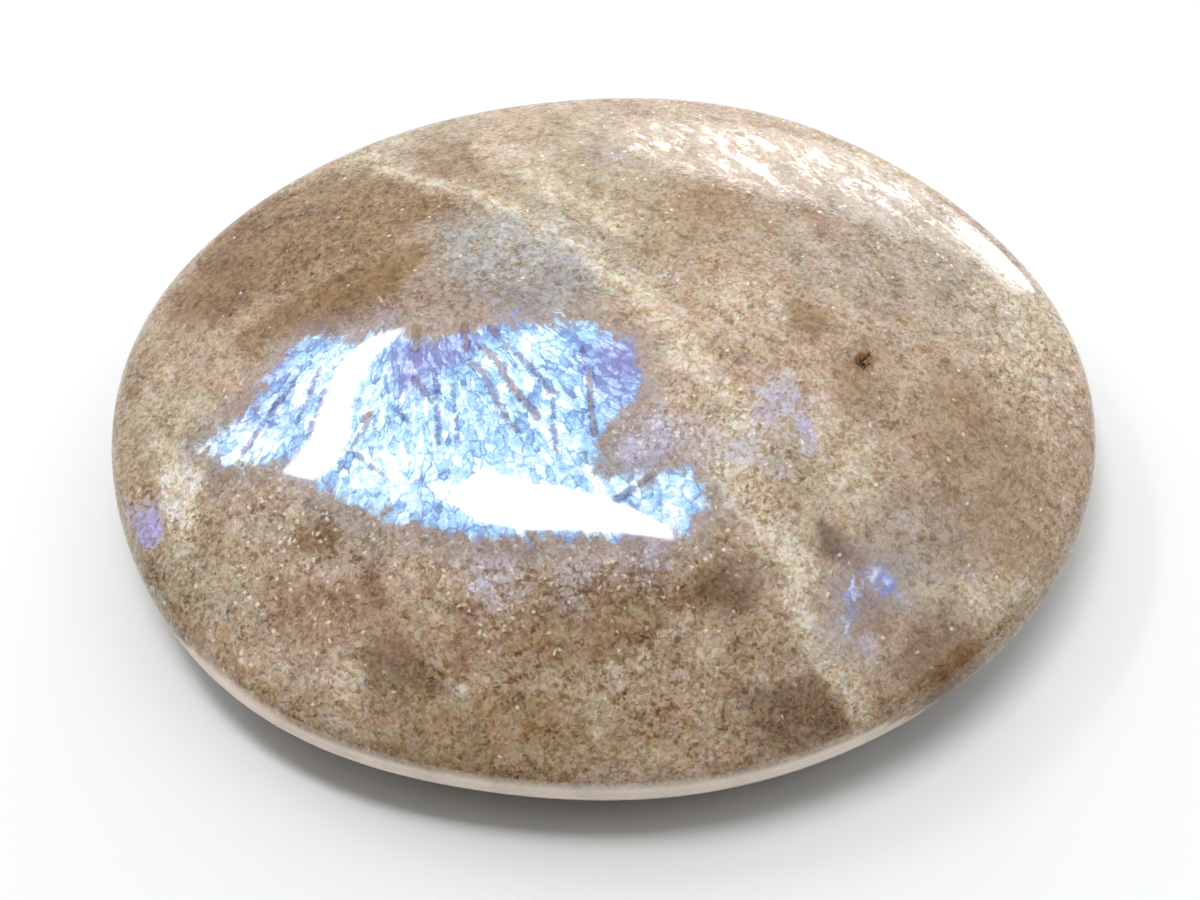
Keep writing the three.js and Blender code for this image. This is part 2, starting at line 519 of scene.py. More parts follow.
@dataclass(frozen=True)
class Lobe:
    """One slow wave of the outline, which takes it off a true oval."""

    count: int
    swell: float
    peak_deg: float

    def wave(self, heading: Array) -> Array:
        """Gives the share of the radius that the lobe adds at each heading."""
        return self.swell * np.cos(self.count * (heading - math.radians(self.peak_deg)))


@dataclass(frozen=True)
class Swell:
    """One long low wave of the crown, left by polishing by hand, in millimetres."""

    length: float
    heading_deg: float
    height: float
    start_deg: float

    def rise(self, plan: Plan) -> Array:
        """Gives the height that the wave adds at each place.

        Args:
            plan: The places, along and across the stone.

        Returns:
            Heights, above and below zero.
        """
        heading = math.radians(self.heading_deg)
        along = (plan[0] * math.cos(heading) + plan[1] * math.sin(heading)) / self.length
        return self.height * np.sin(2 * math.pi * along + math.radians(self.start_deg))


@dataclass(frozen=True)
class StoneForm:
    """The palm stone's shape: a bowed crown over a shallower keel, joined by a round edge.

    All sizes are in millimetres.
    """

    length: float = 66.0
    width: float = 53.8
    crown_height: float = 9.5
    keel_depth: float = 6.2
    edge_radius: float = 2.5
    flat_spot_width: float = 11.0
    crown_shoulder: float = 0.06
    keel_shoulder: float = 0.15
    shoulder_power: int = 6
    lobes: tuple[Lobe, ...] = each(
        Lobe,
        (3, 0.003, -31.7),
        (4, 0.0032, -30.0),
        (5, 0.0045, 1.6),
        (6, 0.0019, -11.7),
        (7, 0.0023, 13.1),
    )
    swells: tuple[Swell, ...] = each(
        Swell, (31.0, 24.0, 0.1, 40.0), (22.0, 118.0, 0.07, 200.0), (14.0, 71.0, 0.03, 95.0)
    )
    pit: Pit = Pit(16.7, -0.8, 1.3, 0.9, 62.0, 0.45)
    # Where the pit's wall starts and ends, in shares of the way from its middle to its edge.
    pit_wall: Point = (0.2, 1.2)
    cells: int = 220
    line_steps: int = 400
    spacing_steps: int = 2001
    # Where the net is drawn closer, to carry the fine markings there, and how much closer.
    focus: Point = (-0.28, -0.17)
    focus_reach: float = 0.42
    focus_gain: float = 1.1

    @property
    def reach(self) -> float:
        """Gives the distance from the axis to where the rounding of the edge starts."""
        return self.width / 2 - self.edge_radius

    def fall(self, share: Array, shoulder: float) -> Array:
        """Says how far a dome has fallen at a share of its reach, from zero to one."""
        return (1 - shoulder) * share**2 + shoulder * share**self.shoulder_power

    def slope(self, share: Array, shoulder: float) -> Array:
        """Gives the slope of the fall at a share of the reach."""
        power = self.shoulder_power
        return 2 * (1 - shoulder) * share + shoulder * power * share ** (power - 1)

    def side_line(self, height: float, shoulder: float, start: float) -> Array:
        """Draws one side of the section, from its middle out to the widest point of the edge.

        Args:
            height: The dome's height over the middle of the edge's rounding.
            shoulder: The share of the fall that comes late, which fills the shoulder out.
            start: The share of the reach where the dome begins.

        Returns:
            Radius and height over the girdle for each point of the line.
        """
        share = np.sin(np.linspace(math.asin(start), math.pi / 2, self.line_steps))
        steepness = height * self.slope(share, shoulder) / self.reach
        normal = np.stack([steepness, np.ones_like(share)], -1)
        normal /= np.linalg.norm(normal, axis=-1, keepdims=True)
        dome = np.stack([self.reach * share, height * (1 - self.fall(share, shoulder))], -1)
        dome += self.edge_radius * normal
        tilt = np.linspace(math.atan2(normal[-1, 1], normal[-1, 0]), 0.0, self.line_steps)[1:]
        edge = self.edge_radius * np.stack([np.cos(tilt), np.sin(tilt)], -1)
        edge[:, 0] += self.reach
        return np.concatenate([dome, edge])

    def crown_line(self) -> Array:
        """Draws the crown's half of the section, as radius and height over the table."""
        line = self.side_line(self.crown_height - self.edge_radius, self.crown_shoulder, 0.0)
        return np.stack([line[:, 0], self.keel_depth + line[:, 1]], -1)

    def keel_line(self) -> Array:
        """Draws the keel's half of the section, from the middle of the flat spot outwards.

        Returns:
            Radius and height over the table for each point of the line.
        """
        start = self.flat_spot_width / 2 / self.reach
        depth = self.keel_depth - self.edge_radius
        depth /= 1 - self.fall(start, self.keel_shoulder)
        line = self.side_line(depth, self.keel_shoulder, start)
        rim = [[0.0, 0.0], [self.flat_spot_width / 2, 0.0]]
        under = np.stack([line[1:, 0], np.maximum(self.keel_depth - line[1:, 1], 0.0)], -1)
        return np.concatenate([rim, under])

    def plan_radius(self, heading: Array) -> Array:
        """Gives the outline's radius, an oval with its lobes, for each heading."""
        oval = 1 / np.hypot(np.cos(heading) * 2 / self.length, np.sin(heading) * 2 / self.width)
        return oval * (1 + sum(lobe.wave(heading) for lobe in self.lobes))

    def swell_height(self, plan: Plan, z: Array) -> Array:
        """Gives the hand-polished waves of the crown, which fade out towards the edge."""
        share = np.clip((z - self.keel_depth) / self.crown_height, 0.0, None)
        return share * sum(swell.rise(plan) for swell in self.swells)

    def net_line(self, middle: float) -> Array:
        """Spaces the lines of the net from minus one to one.

        Args:
            middle: Where they lie closest together.

        Returns:
            The place of each line.
        """
        place = np.linspace(-1.0, 1.0, self.spacing_steps)
        density = 1 + self.focus_gain * np.exp(-(((place - middle) / self.focus_reach) ** 2))
        passed = np.concatenate([[0.0], np.cumsum((density[1:] + density[:-1]) / 2)])
        return np.interp(np.linspace(0.0, passed[-1], self.cells + 1), passed, place)

    def disc(self) -> tuple[Array, Array]:
        """Lays a square net over a disc without crowding its middle.

        Returns:
            The share of the radius and the heading of each crossing of the net.
        """
        lines = [self.net_line(middle) for middle in self.focus]
        a, b = np.meshgrid(*lines, indexing="ij")
        wide = np.abs(a) >= np.abs(b)
        lead = np.where(wide, a, b)
        turn = math.pi / 4 * np.where(wide, b, a) / np.where(lead == 0, 1.0, lead)
        x = lead * np.where(wide, np.cos(turn), np.sin(turn))
        y = lead * np.where(wide, np.sin(turn), np.cos(turn))
        return np.abs(lead), np.arctan2(y, x)

    def surface(self, line: Array) -> Array:
        """Sweeps one half of the section round the outline.

        Args:
            line: Radius and height of the section, from the middle to the widest point.

        Returns:
            The place of each crossing of the net.
        """
        share, heading = self.disc()
        steps = np.hypot(*np.diff(line, axis=0).T)
        length = np.concatenate([[0.0], np.cumsum(steps)])
        radius = np.interp(share * length[-1], length, line[:, 0])
        height = np.interp(share * length[-1], length, line[:, 1])
        scale = radius * self.plan_radius(heading) / (self.width / 2)
        x, y = scale * np.cos(heading), scale * np.sin(heading)
        return np.stack([x, y, height + self.swell_height((x, y), height)], -1)

    def points(self) -> Array:
        """Works out every vertex, centred over the flat spot's middle.

        Returns:
            The place of each vertex, the crown's first.
        """
        crown = self.surface(self.crown_line())
        keel = self.surface(self.keel_line())[1:-1, 1:-1]
        points = np.concatenate([crown.reshape(-1, 3), keel.reshape(-1, 3)])
        points[:, :2] -= (points[:, :2].max(0) + points[:, :2].min(0)) / 2
        on_crown = points[:, 2] > self.keel_depth
        hollow = smooth_fall(self.pit.reach((points[:, 0], points[:, 1])), *self.pit_wall)
        points[:, 2] -= np.where(on_crown, self.pit.depth * hollow, 0.0)
        return points

    def faces(self) -> Array:
        """Joins the vertices into faces, which all look outwards.

        Returns:
            Four vertex numbers for each face.
        """
        side = self.cells + 1
        crown = np.arange(side * side).reshape(side, side)
        keel = crown.copy()
        keel[1:-1, 1:-1] = side * side + np.arange((side - 2) ** 2).reshape(side - 2, side - 2)
        over, under = (
            np.stack([n[:-1, :-1], n[1:, :-1], n[1:, 1:], n[:-1, 1:]], -1).reshape(-1, 4)
            for n in (crown, keel)
        )
        return np.concatenate([over, under[:, ::-1]])


@dataclass(frozen=True)
class PolishedMoonstone:
    """Moonstone, a milky feldspar, sawn, tumbled and buffed by hand to a wet-looking gloss.

    The eye sees a tan body mottled by cleavage flakes, small white glints, and a blue shimmer from
    inside that fine cracks break into scales. The glints are partly painted highlights, and the
    shimmer is painted sheen: fixed colour where the real stone throws light back from inside. The
    widths of the patterns are in millimetres.
    """

    refraction: float = 1.52
    gloss_roughness: float = 0.055
    worn_roughness: float = 0.45
    cloud_mm: float = 2.2
    mottle_mm: float = 2.6
    streak_mm: float = 0.9
    stroke_mm: float = 0.2
    flake_mm: float = 0.5
    crumb_mm: float = 0.2
    glint_mm: float = 0.3
    speck_mm: float = 0.9
    scale_mm: float = 0.45
    chip_mm: float = 0.7
    worn_relief_mm: float = 0.02
    # The widths of these are given by how many of them go into a millimetre.
    tear_mm: float = 1 / 2.2
    hue_mm: float = 1 / 1.1
    grit_mm: float = 1 / 3.2
    drift_mm: float = 1 / 0.55
    fleck_mm: float = 1 / 2.4
    sheen_edge_mm: float = 1 / 1.1
    rim_cloud_mm: float = 1 / 0.3
    worn_fleck_mm: float = 1 / 0.75
    # How far places are torn and bent.
    tear_reach_mm: float = 0.5
    bend_reach_mm: float = 2.4
    streak_heading_deg: float = -52.0
    # The scales of the painted sheen lie in a fan. They have their full width this far from its
    # middle, and are this share as wide as they are long.
    fan_middle: Point = (-11.5, 9.0)
    fan_reach_mm: float = 13.0
    scale_share: float = 0.42
    # The painted sheen from its darkest to its brightest places, and the tints of its violet places
    # and of the haze there.
    flash_tones: tuple[tuple[float, str], ...] = (
        (0.0, "#6f84b0"),
        (0.18, "#7a9cd0"),
        (0.36, "#92bce2"),
        (0.54, "#abd2eb"),
        (0.76, "#d0e4f2"),
        (1.0, "#eef6fb"),
    )
    violet_tint: Colour = (1.12, 0.76, 0.84, 1.0)
    lilac_tint: Colour = (0.88, 0.82, 1.15, 1.0)
    painted_glint_tone: str = "#e9ddc8"
    haze_tone: str = "#88828a"
    crack_tone: str = "#a3a6c2"
    body_crack_tone: str = "#d9cfc8"
    # The pale colour of the painted rim light.
    rim_light_tone: str = "#fcebd8"

    def shifted(self, node: NodeAdder, place: Socket, width: float, reach: float) -> Socket:
        """Moves a place about by a noise of a certain width, as far as the reach."""
        shift = node("TexNoise", {"Vector": place, "Scale": 1 / width, "Detail": 2.0}, "Color")
        return node("VectorMath", {0: shift, 1: (reach,) * 3, 2: place}, operation="MULTIPLY_ADD")

    def make(self) -> bpy.types.Material:
        """Builds the material: the body, the painted sheen of the shimmer inside it, the painted rim
        light and the polish on it.

        Returns:
            The finished material.
        """
        material = bpy.data.materials.new("polished_moonstone")
        node = cleared(material)
        metres = node("TexCoord", output="Object")
        place = node("VectorMath", {0: metres, "Scale": 1 / MM}, operation="SCALE")
        torn = self.shifted(node, place, self.tear_mm, self.tear_reach_mm)
        bent = self.shifted(node, place, self.cloud_mm, self.bend_reach_mm)
        marks = {mark: node("Attribute", output="Fac", attribute_name=mark) for mark in Mark}
        layers = StoneLayers(self, node, place, torn, bent, marks)
        # The body, then the painted sheen and the painted rim light laid over it.
        colour = layers.rim(layers.shimmer(layers.body()))
        shine = node("MapRange", {0: marks[Mark.PIT], 1: 0.3, 2: 0.7, 3: 0.5, 4: 0.05})
        worn = layers.worn()
        chips = node(
            "TexNoise",
            {"Vector": place, "Scale": 1 / self.chip_mm, "Detail": 5.0, "Roughness": 0.7},
        )
        height = node("Math", {0: chips, 1: marks[Mark.WEAR]}, operation="MULTIPLY")
        surface = node(
            "BsdfPrincipled",
            {
                "Base Color": colour,
                "IOR": self.refraction,
                "Specular IOR Level": shine,
                "Roughness": node(
                    "MapRange", {0: worn, 3: self.gloss_roughness, 4: self.worn_roughness}
                ),
                "Normal": node("Bump", {"Height": height, "Distance": self.worn_relief_mm * MM}),
            },
        )
        node("OutputMaterial", {"Surface": surface})
        return material


@dataclass(frozen=True)
class StoneLayers:
    """The layers of the polished moonstone, which its material lays one over another.

    Every layer reads the place on the stone in millimetres: as it is, torn a little so that no edge
    runs smooth, or bent so that no patch is round.
    """

    finish: PolishedMoonstone
    node: NodeAdder
    place: Socket
    torn: Socket
    bent: Socket
    marks: Mapping[Mark, Socket]

    def drawn(self, place: Socket, angle: float | Socket, shares: Place) -> Socket:
        """Turns a place about the stone's height and shrinks it, which draws out its pattern."""
        turned = self.node("VectorRotate", {0: place, "Angle": angle}, rotation_type="Z_AXIS")
        return self.node("VectorMath", {0: turned, 1: shares}, operation="MULTIPLY")

    def grains(self, place: Socket, size: float) -> tuple[Socket, Socket]:
        """Gives the chance that each grain of a size draws, and the distance from its middle."""
        grain = self.node("TexVoronoi", {"Vector": place, "Scale": 1 / size}, "Color")
        return self.node("SeparateXYZ", {0: grain}), grain.node.outputs["Distance"]

    def summed(self, start: float | Socket, *parts: tuple[Socket, float | Socket]) -> Socket:
        """Adds each part of a pattern, by its share, to what the sum starts from.

        Args:
            start: What the sum starts from.
            *parts: Each part with its share.

        Returns:
            The sum.
        """
        for part, share in parts:
            start = self.node("Math", {0: part, 1: share, 2: start}, operation="MULTIPLY_ADD")
        return start

    def body(self) -> Socket:
        """Mottles the body colour, and scatters its haze, its specks and its glints, the glints
        partly painted highlights.

        Returns:
            The body's colour.
        """
        node = self.node
        # The milk in the stone veils its structure, more in some places than in others.
        level = self.summed(1.0, (self.lightness(), self.marks[Mark.CLEAR]))
        level = node("Math", {0: level, 1: 0.2}, operation="MAXIMUM")
        # Dark places are a warm brown and pale ones turn to cream.
        gain = node("VectorMath", {0: level, 1: (0.76, 1.0, 1.32)}, operation="POWER")
        hue = node(
            "TexNoise",
            {"Vector": self.bent, "Scale": 1 / self.finish.hue_mm, "Detail": 5.0, "Roughness": 0.75},
            "Color",
        )
        hue = node(
            "VectorMath",
            {0: hue, 1: (0.72, 0.17, 1.2), 2: (0.64, 0.915, 0.4)},
            operation="MULTIPLY_ADD",
        )
        colour = node("Attribute", output="Color", attribute_name=BODY_TONE)
        for tint in (gain, hue):
            colour = node("Mix", {0: 1.0, 6: colour, 7: tint}, 2, **TINTED)
        return self.glints(self.specks(self.lilac(level, gain, colour)))

    def lightness(self) -> Socket:
        """Adds up crisp patches, streaks along the cleavage, strokes, flakes and crumbs.

        Returns:
            How much lighter or darker than its middle tone the body is.
        """
        node, bent, finish = self.node, self.bent, self.finish
        patch = node(
            "TexNoise",
            {"Vector": bent, "Scale": 1 / finish.mottle_mm, "Detail": 9.0, "Roughness": 0.76},
        )
        light = node("MapRange", {0: patch, 1: 0.53, 2: 0.57, 4: 0.13}, **SMOOTH)
        dark = node("MapRange", {0: patch, 1: 0.47, 2: 0.43, 4: 0.13}, **SMOOTH)
        drawn = self.drawn(bent, -math.radians(finish.streak_heading_deg), (0.16, 1.0, 0.5))
        streak = node(
            "TexNoise",
            {"Vector": drawn, "Scale": 1 / finish.streak_mm, "Detail": 3.0, "Roughness": 0.65},
        )
        # Each crystal domain has its strokes laid its own way.
        domain, _ = self.grains(bent, finish.cloud_mm)
        turn = node("Math", {0: domain, 1: 2 * math.pi}, operation="MULTIPLY")
        drawn = self.drawn(self.place, turn, (1.0, 0.35, 0.7))
        stroke = node(
            "TexNoise",
            {"Vector": drawn, "Scale": 1 / finish.stroke_mm, "Detail": 2.0, "Roughness": 0.75},
        )
        flake, _ = self.grains(self.torn, finish.flake_mm)
        crumb, _ = self.grains(self.torn, finish.crumb_mm)
        return self.summed(
            -1.87,
            *((patch, 1.0), (light, 1.0), (dark, -1.0), (streak, 0.5)),
            *((stroke, 1.05), (flake, 0.45), (crumb, 0.8)),
        )

    def lilac(self, level: Socket, gain: Socket, colour: Socket) -> Socket:
        """Lays the lilac haze over the body, more of it where the body is light.

        Args:
            level: The body's lightness.
            gain: The same for red, green and blue.
            colour: The colour so far.

        Returns:
            The colour with its haze.
        """
        node, lilac = self.node, self.marks[Mark.LILAC]
        share = self.summed(lilac, (level, 0.4))
        share = node("MapRange", {0: share, 1: 0.4, 2: 1.4, 4: 2.0}, **SMOOTH)
        share = node("Math", {0: share, 1: lilac}, operation="MULTIPLY", use_clamp=True)
        pale = node("Mix", {0: 0.75, 6: linear(Tone.LAVENDER), 7: gain}, 2, **TINTED)
        violet, tint = self.marks[Mark.SHEEN_VIOLET], self.finish.lilac_tint
        tint = node("Mix", {0: violet, 6: WHITE, 7: tint}, 2, **BLENDED)
        pale = node("Mix", {0: 1.0, 6: pale, 7: tint}, 2, **TINTED)
        return node("Mix", {0: share, 6: colour, 7: pale}, 2, **BLENDED)

    def specks(self, colour: Socket) -> Socket:
        """Scatters dark mineral specks, and darkens the pit, near black at its middle with a brown
        ring round it.

        Args:
            colour: The colour so far.

        Returns:
            The colour with its specks.
        """
        node, torn = self.node, self.torn
        chance, distance = self.grains(torn, self.finish.speck_mm)
        size = node("MapRange", {0: chance, 1: 0.8, 2: 1.0, 4: 0.3})
        inside = node("Math", {0: size, 1: distance}, operation="SUBTRACT")
        speck = node("MapRange", {0: inside, 1: 0.0, 2: 0.12, 4: 0.6})
        grit = node(
            "TexNoise",
            {"Vector": torn, "Scale": 1 / self.finish.grit_mm, "Detail": 3.0, "Roughness": 0.7},
        )
        pit_darkness = self.summed(self.marks[Mark.PIT], (grit, 2.0))
        halo = node("MapRange", {0: pit_darkness, 1: 1.25, 2: 1.6, 4: 0.7})
        core = node("MapRange", {0: pit_darkness, 1: 1.78, 2: 1.95, 4: 0.95})
        for share, tone in ((speck, Tone.UMBER), (halo, Tone.HONEY), (core, Tone.SOOT)):
            colour = node("Mix", {0: share, 6: colour, 7: linear(tone)}, 2, **BLENDED)
        return colour

    def glints(self, colour: Socket) -> Socket:
        """Scatters the small white glints of cleavage faces, where they gather: painted highlights,
        partly pale flakes of the stone's own.

        Args:
            colour: The colour so far.

        Returns:
            The colour with its glints.
        """
        node = self.node
        chance, distance = self.grains(self.torn, self.finish.glint_mm)
        least = node("MapRange", {0: self.marks[Mark.GLITTER], 3: 0.99, 4: 0.87}, clamp=False)
        lit = node("Math", {0: chance, 1: least}, operation="GREATER_THAN")
        spot = node("MapRange", {0: distance, 1: 0.6, 2: 0.2, 4: 0.65})
        share = node("Math", {0: lit, 1: spot}, operation="MULTIPLY")
        return node("Mix", {0: share, 6: colour, 7: linear(self.finish.painted_glint_tone)}, 2, **BLENDED)

    def shimmer(self, body: Socket) -> Socket:
        """Paints the blue sheen over the body, with its scales, its haze and its cracks: fixed
        colour in place of the light that layers inside the stone throw back.

        Args:
            body: The body's colour.

        Returns:
            The colour of the whole stone.
        """
        node, torn, finish = self.node, self.torn, self.finish
        depth, violet = self.marks[Mark.SHEEN_DEPTH], self.marks[Mark.SHEEN_VIOLET]
        fan = self.fan()
        scale, _ = self.grains(fan, 1.0)
        seam = node("TexVoronoi", {"Vector": fan, "Scale": 1.0}, feature="DISTANCE_TO_EDGE")
        broken = node("Math", {0: scale.node.outputs["Y"], 1: 0.17}, operation="MULTIPLY")
        seam = node("Math", {0: broken, 1: seam}, operation="SUBTRACT")
        seam = node("MapRange", {0: seam, 1: 0.0, 2: 0.08, 4: 0.36})
        drift = node(
            "TexNoise",
            {"Vector": self.place, "Scale": 1 / finish.drift_mm, "Detail": 7.0, "Roughness": 0.68},
        )
        fleck = node(
            "TexNoise",
            {"Vector": torn, "Scale": 1 / finish.fleck_mm, "Detail": 5.0, "Roughness": 0.75},
        )
        inward = node("MapRange", {0: depth, 1: -0.5, 2: 2.0, 3: -0.2, 4: 0.1})
        level = self.summed(
            -1.6,
            *((drift, 2.2), (fleck, 1.55), (scale, 0.5), (self.marks[Mark.SHEEN_WHITE], 1.0)),
            *((violet, -0.36), (seam, -1.0), (inward, 1.0)),
        )
        flash = node("ValToRGB", {"Fac": level}, stops=finish.flash_tones)
        tint = node("Mix", {0: violet, 6: WHITE, 7: finish.violet_tint}, 2, **BLENDED)
        flash = node("Mix", {0: 1.0, 6: flash, 7: tint}, 2, **TINTED)
        edge = node(
            "TexNoise",
            {
                "Vector": torn,
                "Scale": 1 / finish.sheen_edge_mm,
                "Detail": 8.0,
                "Roughness": 0.78,
                "Distortion": 0.9,
            },
        )
        reach = self.summed(depth, (edge, 3.8), (scale, 0.7))
        halo = node("MapRange", {0: reach, 1: -0.6, 2: 2.4, 4: 0.5}, **SMOOTH)
        share = node("MapRange", {0: reach, 1: 1.8, 2: 2.6}, **SMOOTH)
        milky = node("Mix", {0: halo, 6: body, 7: linear(finish.haze_tone)}, 2, **BLENDED)
        colour = node("Mix", {0: share, 6: milky, 7: flash}, 2, **BLENDED)
        return self.cracks(edge, body, colour)

    def fan(self) -> Socket:
        """Turns a place into its heading and distance from the middle of the fan of scales.

        Returns:
            The place in the fan, in widths and lengths of the scales.
        """
        node, finish = self.node, self.finish
        middle = (*finish.fan_middle, 0.0)
        apart = node("VectorMath", {0: self.torn, 1: middle}, operation="SUBTRACT")
        east = node("SeparateXYZ", {0: apart}, "X")
        south = node("Math", {0: east.node.outputs["Y"], 1: -1.0}, operation="MULTIPLY")
        angle = node("Math", {0: east, 1: south}, operation="ARCTAN2")
        flat = node("VectorMath", {0: apart, 1: (1.0, 1.0, 0.0)}, operation="MULTIPLY")
        radius = node("VectorMath", {0: flat}, "Value", operation="LENGTH")
        widths = finish.fan_reach_mm / finish.scale_mm
        lengths = finish.scale_share / finish.scale_mm
        across = node("Math", {0: angle, 1: widths}, operation="MULTIPLY")
        along = node("Math", {0: radius, 1: lengths}, operation="MULTIPLY")
        return node("CombineXYZ", {0: across, 1: along})

    def cracks(self, edge: Socket, body: Socket, colour: Socket) -> Socket:
        """Draws the main cracks: steel blue where they are fine, brown where they gape.

        Args:
            edge: A fine noise, which frays the sides of the cracks.
            body: The body's colour, which shows in the widest cracks.
            colour: The colour so far.

        Returns:
            The colour with its cracks.
        """
        node, finish, inside = self.node, self.finish, self.marks[Mark.CRACK]
        frayed = self.summed(inside, (edge, 1.5))
        share = node("MapRange", {0: frayed, 1: 0.66, 2: 0.8, 4: 0.95})
        gape = node("MapRange", {0: inside, 1: 0.02, 2: 0.16, 4: 0.7})
        steel = node("Mix", {0: 1.0, 6: colour, 7: linear(finish.crack_tone)}, 2, **TINTED)
        dark = node("Mix", {0: gape, 6: steel, 7: body}, 2, **BLENDED)
        shade = node("Mix", {0: 1.0, 6: body, 7: linear(finish.body_crack_tone)}, 2, **TINTED)
        within = node("MapRange", {0: self.marks[Mark.SHEEN_DEPTH], 1: -1.0, 2: 0.5})
        dark = node("Mix", {0: within, 6: shade, 7: dark}, 2, **BLENDED)
        return node("Mix", {0: share, 6: colour, 7: dark}, 2, **BLENDED)

    def rim(self, colour: Socket) -> Socket:
        """Paints light onto the thin rim: a pale band for the light that comes through the stone
        there and for the table's light thrown onto it.

        Args:
            colour: The colour so far.

        Returns:
            The colour with its painted rim light.
        """
        node, scale = self.node, 1 / self.finish.rim_cloud_mm
        cloud = node("TexNoise", {"Vector": self.torn, "Scale": scale, "Detail": 3.0})
        cloud = node("MapRange", {0: cloud, 1: 0.3, 2: 0.6, 3: 0.7, 4: 0.98})
        share = node("Math", {0: self.marks[Mark.RIM], 1: cloud}, operation="MULTIPLY")
        return node("Mix", {0: share, 6: colour, 7: linear(self.finish.rim_light_tone)}, 2, **BLENDED)

    def worn(self) -> Socket:
        """Says where the polish is worn off, in flecks drawn out along the cleavage.

        Returns:
            One where the surface is dull, and zero where it is glossy.
        """
        node, finish = self.node, self.finish
        drawn = self.drawn(self.place, -math.radians(finish.streak_heading_deg), (0.5, 1.0, 1.0))
        fleck = node(
            "TexNoise",
            {"Vector": drawn, "Scale": 1 / finish.worn_fleck_mm, "Detail": 8.0, "Roughness": 0.8},
        )
        bare = self.summed(fleck, (self.marks[Mark.WEAR], 0.5))
        dull = node("MapRange", {0: bare, 1: 0.95, 2: 1.0})
        bottom = node("MapRange", {0: self.marks[Mark.PIT], 1: 0.55, 2: 0.8})
        return node("Math", {0: dull, 1: bottom}, operation="MAXIMUM")


@dataclass(frozen=True)
class WhiteCard:
    """Matt white card, pressed smooth: the eye sees an even, almost pure white."""

    tone: str = "#dcdddb"
    roughness: float = 0.9

    def make(self) -> bpy.types.Material:
        """Builds the card's plain material.

        Returns:
            The finished material.
        """
        material = bpy.data.materials.new("matt_white_card")
        node = cleared(material)
        looks = {"Base Color": linear(self.tone), "Roughness": self.roughness}
        node("OutputMaterial", {"Surface": node("BsdfPrincipled", looks)})
        return material


@dataclass(frozen=True)
class LampGlass:
    """Opal glass lit from behind: the eye sees an even white glow with a crisp outline."""

    radiance: float
    tone: str = "#fdfdff"

    def make(self) -> bpy.types.Material:
        """Builds the glowing material.

        Returns:
            The finished material.
        """
        material = bpy.data.materials.new("lit_opal_glass")
        node = cleared(material)
        glow = node("Emission", {"Color": linear(self.tone), "Strength": self.radiance})
        node("OutputMaterial", {"Surface": glow})
        return material


